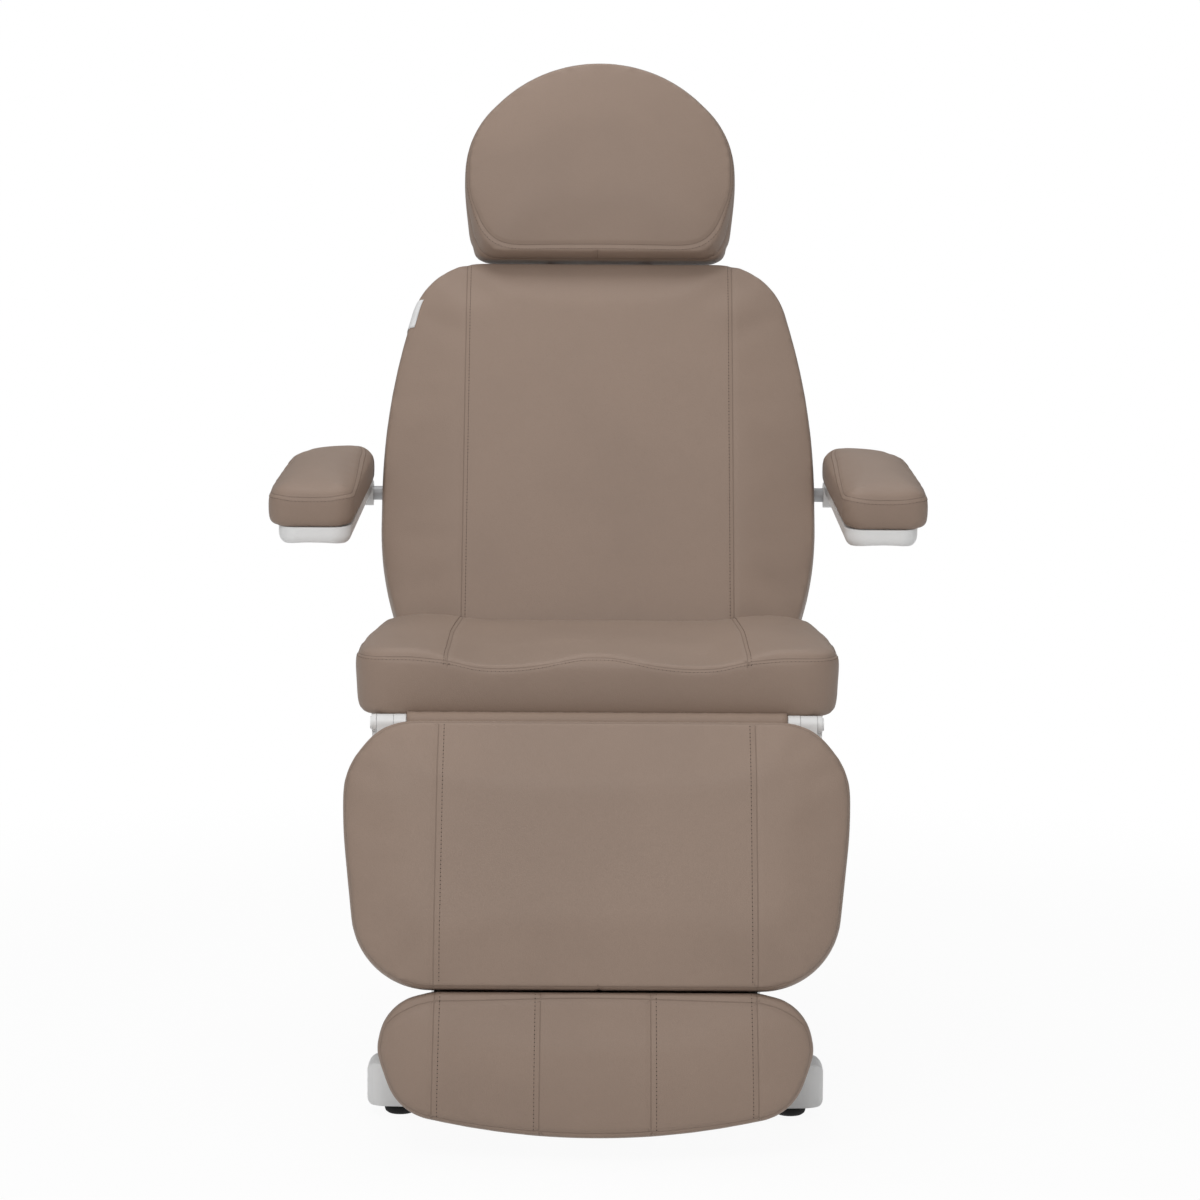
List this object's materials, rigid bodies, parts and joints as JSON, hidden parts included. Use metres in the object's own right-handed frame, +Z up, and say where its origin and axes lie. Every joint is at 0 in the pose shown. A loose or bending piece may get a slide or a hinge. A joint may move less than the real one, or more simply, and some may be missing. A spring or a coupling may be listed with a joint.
{
  "type": "electric beauty chair",
  "caption": "Upholstered electric treatment chair on a telescopic column, with a reclining back, lifting leg rest, sliding foot rest, tilting head rest and turning arm rests.",
  "frame": {"origin": "on the floor under the swivel axis, at the middle of the four feet", "axes": "+Z up; the sitter faces -Y; +X to the right of someone who faces the chair"},
  "size_m": [0.8904, 1.0543, 1.3794],
  "materials": {
    "upholstery": "satin vinyl-coated fabric over foam",
    "white_paint": "satin powder coat",
    "white_plastic": "satin moulded",
    "grey_plastic": "matte moulded",
    "steel": "brushed",
    "chrome": "polished",
    "black_rubber": "matte",
    "black_plastic": "matte",
    "nylon": "matte",
    "plywood": "matte"
  },
  "bodies": {
    "base": {"base_cross_bars": "white_paint", "base_spine": "white_paint", "base_bar_covers": "white_plastic", "levelling_feet": "black_rubber", "foot_studs": "steel", "turntable_lower_plate": "white_paint", "turntable_glide_ring": "nylon"},
    "turntable": {"turntable_plate": "white_paint", "turntable_kingpin": "steel", "column_outer": "white_paint", "lift_drive": "steel"},
    "column_middle": {"column_middle": "white_paint", "column_middle_glides": "nylon"},
    "seat": {"column_inner": "white_paint", "column_inner_glides": "nylon", "lift_rod": "chrome", "column_head_plate": "white_paint", "seat_frame_tubes": "white_paint", "seat_board": "plywood", "seat_cushion": "upholstery", "leg_hinge_brackets": "white_paint", "leg_hinge_shaft": "steel", "knee_flap": "upholstery", "back_hinge_plates": "white_paint", "back_hinge_pins": "steel", "control_box": "grey_plastic", "power_inlet": "black_plastic", "drive_brackets": "white_paint"},
    "leg": {"leg_cushion": "upholstery", "leg_board": "plywood", "leg_frame_tubes": "white_paint", "leg_lugs": "white_paint", "leg_crank": "white_paint", "foot_guides": "white_paint"},
    "foot": {"foot_cushion": "upholstery", "foot_board": "plywood", "foot_rods": "chrome", "foot_bracket": "white_paint"},
    "back": {"back_cushion": "upholstery", "back_board": "plywood", "back_frame_tubes": "white_paint", "back_lugs": "white_paint", "back_crank": "white_paint", "back_rear_panel": "grey_plastic", "arm_axle": "steel", "head_guides": "white_paint"},
    "head_carrier": {"head_rods": "chrome", "head_bridge": "white_paint", "head_hinge_pin": "steel"},
    "head": {"head_bracket": "white_paint", "head_board": "plywood", "head_cushion": "upholstery"},
    "arm_left": {"arm_left_shell": "white_plastic", "arm_left_cushion": "upholstery"},
    "arm_right": {"arm_right_shell": "white_plastic", "arm_right_cushion": "upholstery"},
    "leg_drive_housing": {"leg_drive_housing": "grey_plastic"},
    "leg_drive_rod": {"leg_drive_rod": "chrome"},
    "back_drive_housing": {"back_drive_housing": "grey_plastic"},
    "back_drive_rod": {"back_drive_rod": "chrome"}
  },
  "joints": [
    {"name": "swivel", "type": "hinge", "parent": "base", "child": "turntable", "pos_m": [0, 0, 0.079], "axis": [0, 0, 1], "range_deg": [-120, 120]},
    {"name": "lift", "type": "slide", "parent": "turntable", "child": "seat", "axis": [0, 0, 1], "range_m": [0, 0.3]},
    {"name": "column_extend", "type": "slide", "parent": "turntable", "child": "column_middle", "axis": [0, 0, 1], "range_m": [0, 0.151]},
    {"name": "back_recline", "type": "hinge", "parent": "seat", "child": "back", "pos_m": [0, 0.206, 0.515], "axis": [-1, 0, 0], "range_deg": [-10, 65]},
    {"name": "leg_lift", "type": "hinge", "parent": "seat", "child": "leg", "pos_m": [0, -0.337, 0.53], "axis": [-1, 0, 0], "range_deg": [0, 74]},
    {"name": "foot_slide", "type": "slide", "parent": "leg", "child": "foot", "axis": [0, -0.2756, -0.9613], "range_m": [0, 0.15]},
    {"name": "head_slide", "type": "slide", "parent": "back", "child": "head_carrier", "axis": [0, 0.4226, 0.9063], "range_m": [0, 0.08]},
    {"name": "head_tilt", "type": "hinge", "parent": "head_carrier", "child": "head", "pos_m": [0, 0.4915, 1.15092], "axis": [-1, 0, 0], "range_deg": [0, 30]},
    {"name": "arm_left_turn", "type": "hinge", "parent": "back", "child": "arm_left", "pos_m": [0, 0.34013, 0.76361], "axis": [-1, 0, 0], "range_deg": [-65, 70]},
    {"name": "arm_right_turn", "type": "hinge", "parent": "back", "child": "arm_right", "pos_m": [0, 0.34013, 0.76361], "axis": [-1, 0, 0], "range_deg": [-65, 70]},
    {"name": "leg_drive_swing", "type": "hinge", "parent": "seat", "child": "leg_drive_housing", "pos_m": [0, 0.075, 0.452], "axis": [-1, 0, 0], "range_deg": [-0.5, 6.21]},
    {"name": "leg_drive_stroke", "type": "slide", "parent": "leg_drive_housing", "child": "leg_drive_rod", "axis": [0, -0.9977, -0.0677], "range_m": [-0.001, 0.1252]},
    {"name": "back_drive_swing", "type": "hinge", "parent": "seat", "child": "back_drive_housing", "pos_m": [0, -0.285, 0.44], "axis": [1, 0, 0], "range_deg": [-1.62, 7.75]},
    {"name": "back_drive_stroke", "type": "slide", "parent": "back_drive_housing", "child": "back_drive_rod", "axis": [0, 0.9992, -0.0407], "range_m": [-0.086, 0.0141]}
  ],
  "couplings": [
    {"joint": "column_extend", "follows": "lift", "ratio": 0.5},
    {"joint": "leg_drive_swing", "follows": "leg_lift", "ratio": 0.077142},
    {"joint": "leg_drive_stroke", "follows": "leg_lift", "m_per_rad": 0.096147},
    {"joint": "back_drive_swing", "follows": "back_recline", "ratio": 0.11157},
    {"joint": "back_drive_stroke", "follows": "back_recline", "m_per_rad": -0.074933}
  ]
}
